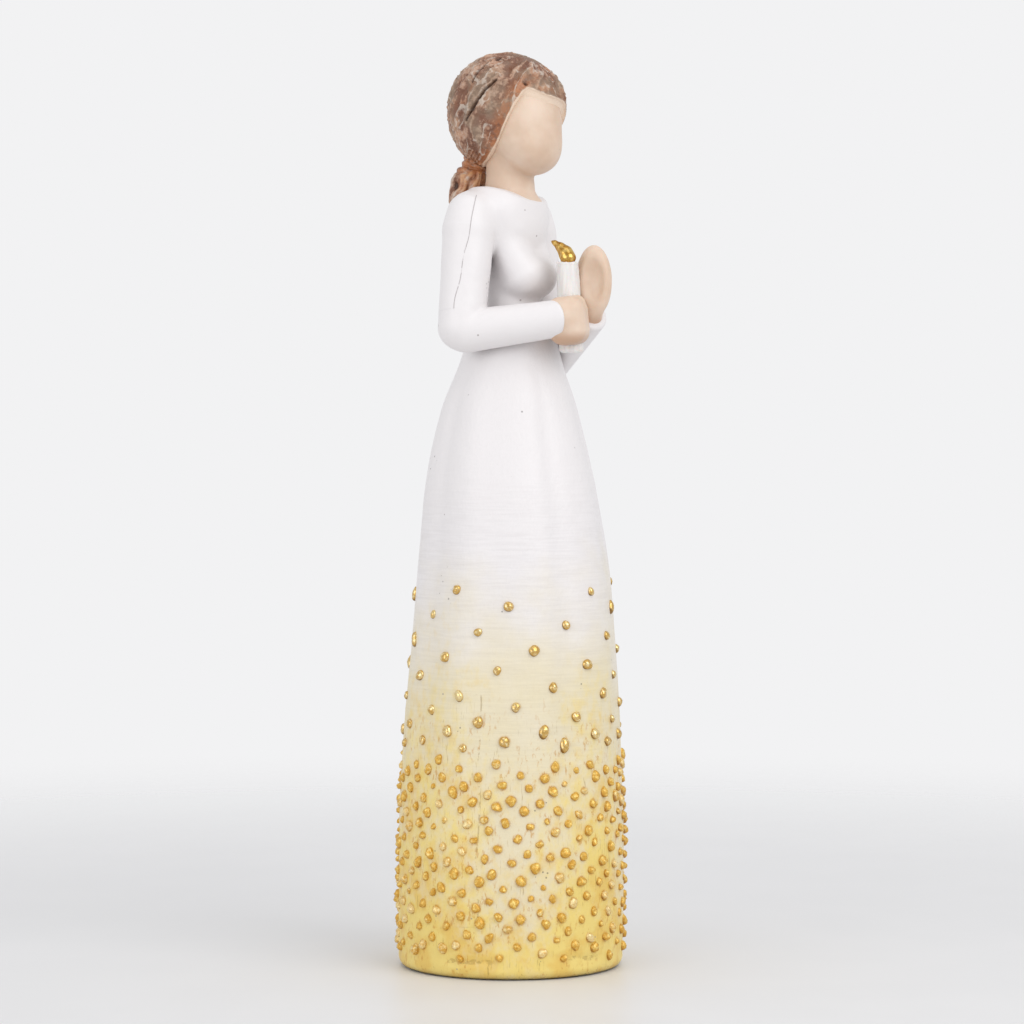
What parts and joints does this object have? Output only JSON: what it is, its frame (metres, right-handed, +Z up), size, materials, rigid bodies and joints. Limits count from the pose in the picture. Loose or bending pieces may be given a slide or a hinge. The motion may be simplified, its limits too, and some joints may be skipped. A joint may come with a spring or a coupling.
{
  "type": "figurine",
  "caption": "Standing faceless resin figurine in a long white dress that fades to gold at a dotted hem, cupping a lit candle in both hands",
  "frame": {"origin": "centre of the underside of the felt pad, on the table surface", "axes": "+Z up; the figure faces -Y; its right hand is on the -X side"},
  "size_m": [0.0564, 0.056, 0.2159],
  "materials": {
    "dress_resin": "pearly white semi-gloss paint over cast resin, washed yellow toward the hem",
    "hem_gold": "ochre gold paint on raised dots",
    "bright_gold": "polished gold leaf paint",
    "skin_paint": "satin skin-tone paint over cast resin",
    "hair_paint": "copper brown paint, dry-brushed pale grey on the raised strands",
    "candle_white": "white satin paint with fine vertical ridges",
    "felt": "pressed felt",
    "pin_steel": "plain drawn wire"
  },
  "bodies": {
    "figurine": {"base_pad": "felt", "skirt": "dress_resin", "skirt_studs": "bright_gold", "hem_dots": "hem_gold", "waist_dowel": "pin_steel", "bodice": "dress_resin", "right_upper_sleeve": "dress_resin", "right_forearm_sleeve": "dress_resin", "left_upper_sleeve": "dress_resin", "left_forearm_sleeve": "dress_resin", "neck": "skin_paint", "neck_dowel": "pin_steel", "head": "skin_paint", "hair_cap": "hair_paint", "hair_fringe": "hair_paint", "hair_knot": "hair_paint", "ponytail": "hair_paint", "right_hand": "skin_paint", "left_hand": "skin_paint", "right_wrist_pin": "pin_steel", "left_wrist_pin": "pin_steel", "candle": "candle_white", "wick": "pin_steel", "flame": "bright_gold"}
  },
  "joints": []
}
